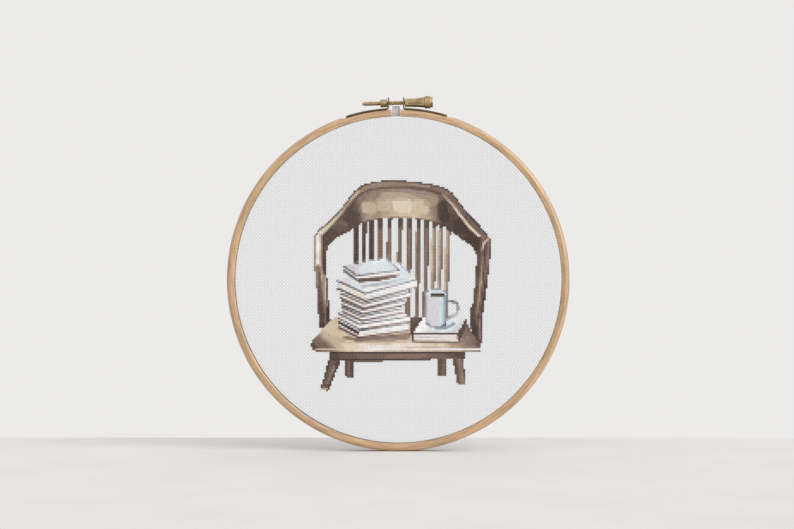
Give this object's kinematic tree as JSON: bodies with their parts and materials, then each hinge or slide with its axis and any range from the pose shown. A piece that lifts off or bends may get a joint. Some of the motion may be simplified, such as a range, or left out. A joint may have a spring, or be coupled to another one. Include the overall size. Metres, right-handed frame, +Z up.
{
  "type": "embroidery hoop",
  "caption": "Round wooden embroidery hoop with a brass clamp screw, holding stretched evenweave fabric stitched with an armchair, books and a mug.",
  "frame": {"origin": "lowest point of the outer ring's rim, half way through its depth", "axes": "+Z up through the hoop's centre towards the clamp screw, -Y out of the stitched front, +X to the right as seen from the front"},
  "size_m": [0.212, 0.0102, 0.2199],
  "materials": {
    "beech": "steamed and bent beech, lightly waxed, satin",
    "brass_strap": "rolled brass strip, dull antique finish",
    "turned_brass": "turned and rolled brass, antique finish, satin",
    "evenweave": "white cotton evenweave, matt",
    "cotton_thread": "white cotton thread, matt",
    "brown_floss": "stranded cotton, soft sheen",
    "pale_floss": "stranded cotton, soft sheen",
    "grey_floss": "stranded cotton, soft sheen"
  },
  "bodies": {
    "hoop_right": {"outer_ring_right": "beech", "bracket_right": "brass_strap", "brad_right_1": "brass_strap", "brad_right_2": "brass_strap"},
    "hoop_left": {"outer_ring_left": "beech", "bracket_left": "brass_strap", "brad_left_1": "brass_strap", "brad_left_2": "brass_strap", "clamp_nut": "turned_brass"},
    "screw": {"clamp_screw": "turned_brass", "screw_knob": "turned_brass"},
    "stretched_work": {"inner_ring": "beech", "fabric": "evenweave", "gathering_thread": "cotton_thread", "stitched_chair": "brown_floss", "stitched_book_stack": "pale_floss", "stitched_book": "pale_floss", "stitched_mug": "grey_floss"}
  },
  "joints": [
    {"name": "gap_open", "type": "hinge", "parent": "hoop_right", "child": "hoop_left", "pos_m": [-0.00722, 0, 0.00275], "axis": [0, -1, 0], "range_deg": [0, 2.16]},
    {"name": "screw_turn", "type": "hinge", "parent": "hoop_right", "child": "screw", "pos_m": [-0.0009, 0, 0.2155], "axis": [0.9997, 0, 0.0262], "range_deg": [0, 2885]},
    {"name": "inner_ring_slide", "type": "slide", "parent": "hoop_right", "child": "stretched_work", "axis": [0, 1, 0], "range_m": [0, 0.03]}
  ],
  "couplings": [
    {"joint": "screw_turn", "follows": "gap_open", "ratio": 1335.5}
  ]
}
